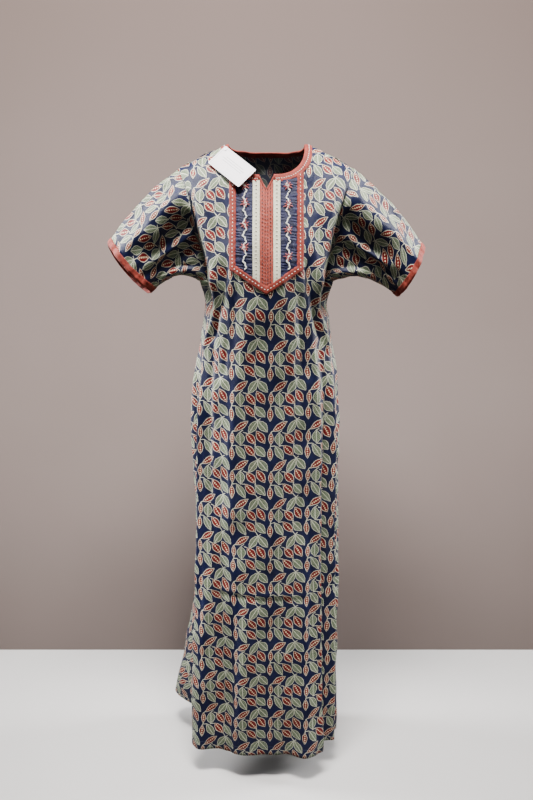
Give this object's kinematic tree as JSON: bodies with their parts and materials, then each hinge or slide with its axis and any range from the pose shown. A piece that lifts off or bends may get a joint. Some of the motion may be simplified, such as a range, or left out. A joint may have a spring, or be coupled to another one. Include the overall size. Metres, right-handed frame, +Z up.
{
  "type": "patient gown",
  "caption": "Long loose gown with short set-in sleeves, a round bound neck with a notch, and a shield-shaped embroidered yoke; an all-over leaf print.",
  "frame": {"origin": "midway between the two high points of the shoulders, beside the neck, on the shoulder seams", "axes": "+Z up, -Y out of the chest, +X towards the wearer's left"},
  "size_m": [0.6943, 0.2854, 1.4307],
  "materials": {
    "print": "soft sheen, printed cotton voile",
    "rust": "matte woven cotton",
    "navy": "matte crinkled cotton",
    "lace": "matte eyelet cotton",
    "thread": "stranded embroidery cotton",
    "coral": "stranded embroidery cotton",
    "lining": "matte plain cotton",
    "card": "matte coated card",
    "plastic": "moulded nylon"
  },
  "bodies": {
    "gown": {"front_panel": "print", "back_panel": "print", "front_hem_turn": "print", "back_hem_turn": "print", "neck_binding": "rust", "tuck_strip": "rust", "yoke_trim": "rust", "yoke_lining": "lining", "tag_pin": "plastic", "right_armhole_seam": "print", "right_shoulder_seam": "print", "right_side_seam": "print", "right_notch_binding": "rust", "right_yoke_panel": "navy", "right_lace": "lace", "right_vine": "thread", "right_flower_1": "coral", "right_flower_2": "coral", "right_flower_3": "coral", "right_flower_4": "coral", "left_armhole_seam": "print", "left_shoulder_seam": "print", "left_side_seam": "print", "left_notch_binding": "rust", "left_yoke_panel": "navy", "left_lace": "lace", "left_vine": "thread", "left_flower_1": "coral", "left_flower_2": "coral", "left_flower_3": "coral", "left_flower_4": "coral"},
    "right_sleeve": {"right_sleeve": "print", "right_cuff_binding": "rust", "right_sleeve_seam": "print"},
    "left_sleeve": {"left_sleeve": "print", "left_cuff_binding": "rust", "left_sleeve_seam": "print"},
    "tag": {"swing_tag": "card"}
  },
  "joints": [
    {"name": "right_sleeve_lift", "type": "hinge", "parent": "gown", "child": "right_sleeve", "pos_m": [-0.19, 0, -0.05], "axis": [0, 1, 0], "range_deg": [0, 45]},
    {"name": "left_sleeve_lift", "type": "hinge", "parent": "gown", "child": "left_sleeve", "pos_m": [0.19, 0, -0.05], "axis": [0, -1, 0], "range_deg": [0, 45]},
    {"name": "tag_swing", "type": "hinge", "parent": "gown", "child": "tag", "pos_m": [-0.08504, -0.03493, -0.01046], "axis": [-0.1158, -0.8436, 0.5243], "range_deg": [-75, 30]}
  ]
}
